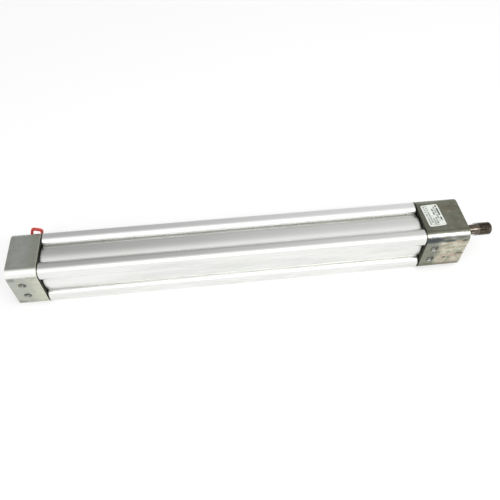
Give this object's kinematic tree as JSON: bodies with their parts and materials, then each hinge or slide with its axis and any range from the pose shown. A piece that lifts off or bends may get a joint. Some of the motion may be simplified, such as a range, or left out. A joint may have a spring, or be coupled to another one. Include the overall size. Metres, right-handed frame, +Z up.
{
  "type": "double-acting pneumatic cylinder",
  "caption": "Double-acting air cylinder with square steel heads, a four-lobed extruded barrel, a male-threaded rod end and a red port plug.",
  "frame": {"origin": "centre of the rod head's flat front face, on the rod's axis", "axes": "+X along the rod, out of the rod head; +Z up, away from the face it rests on; +Y is the side of the air ports; the side-tapped mounting face is -Y"},
  "size_m": [0.4619, 0.0544, 0.051],
  "materials": {
    "head_steel": "dull satin steel with stains",
    "barrel_aluminium": "clear anodised extrusion, satin",
    "rod_steel": "bright where rubbed, brown with rust",
    "screw_steel": "black oxide",
    "clip_steel": "phosphated spring steel",
    "gland_bronze": "turned bearing bronze",
    "piston_aluminium": "turned",
    "seal_rubber": "matte",
    "bumper_urethane": "satin amber urethane",
    "wear_ring_plastic": "filled PTFE",
    "plug_plastic": "soft red polyethylene",
    "label_paper": "white film label"
  },
  "bodies": {
    "cylinder": {"barrel": "barrel_aluminium", "rod_head": "head_steel", "cap_head": "head_steel", "rod_head_screws": "screw_steel", "cap_head_screws": "screw_steel", "rod_head_seal": "seal_rubber", "cap_head_seal": "seal_rubber", "rod_head_bumper": "bumper_urethane", "cap_head_bumper": "bumper_urethane", "rod_gland": "gland_bronze", "gland_seal": "seal_rubber", "rod_seal": "seal_rubber", "rod_wiper": "seal_rubber", "gland_clip": "clip_steel", "name_label": "label_paper"},
    "piston_rings": {"piston_front_seal": "seal_rubber", "piston_wear_ring": "wear_ring_plastic", "piston_rear_seal": "seal_rubber"},
    "rod_assembly": {"piston_rod": "rod_steel", "piston": "piston_aluminium", "neck_seal": "seal_rubber", "piston_nut": "screw_steel"},
    "plug": {"port_plug": "plug_plastic"}
  },
  "joints": [
    {"name": "rod_slide", "type": "slide", "parent": "cylinder", "child": "piston_rings", "axis": [1, 0, 0], "range_m": [0, 0.32385]},
    {"name": "rod_turn", "type": "hinge", "parent": "piston_rings", "child": "rod_assembly", "pos_m": [0, 0, 0], "axis": [1, 0, 0], "continuous": true},
    {"name": "plug_pull", "type": "slide", "parent": "cylinder", "child": "plug", "axis": [0, 1, 0], "range_m": [0, 0.02]}
  ]
}
